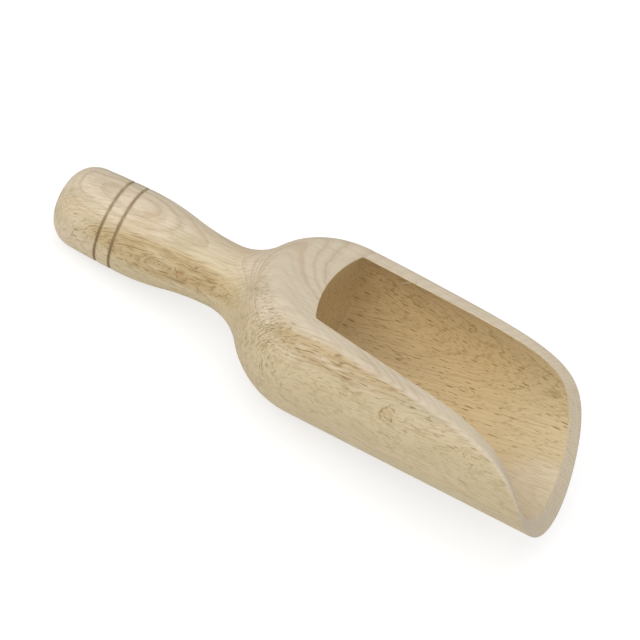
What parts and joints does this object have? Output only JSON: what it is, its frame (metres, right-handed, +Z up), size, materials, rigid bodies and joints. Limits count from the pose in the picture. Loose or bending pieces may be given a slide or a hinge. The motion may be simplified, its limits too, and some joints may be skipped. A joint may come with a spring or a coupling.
{
  "type": "wooden hand scoop",
  "caption": "Turned wooden scoop for dry goods: domed grip with burnt rings, slender neck and a half-open round bowl with a curved pouring lip.",
  "frame": {"origin": "on the table, under the centre of the bounding box", "axes": "+X from the grip's end towards the pouring lip, +Y across the bowl, +Z up, out of the open hollow. The scoop lies as it rests on a table, on the grip's end and the shoulder, so its turning axis rises towards the lip by 10.5 degrees."},
  "size_m": [0.2024, 0.0634, 0.0543],
  "materials": {
    "beech": "unfinished, sanded"
  },
  "bodies": {
    "root": {"scoop": "beech"}
  },
  "joints": []
}
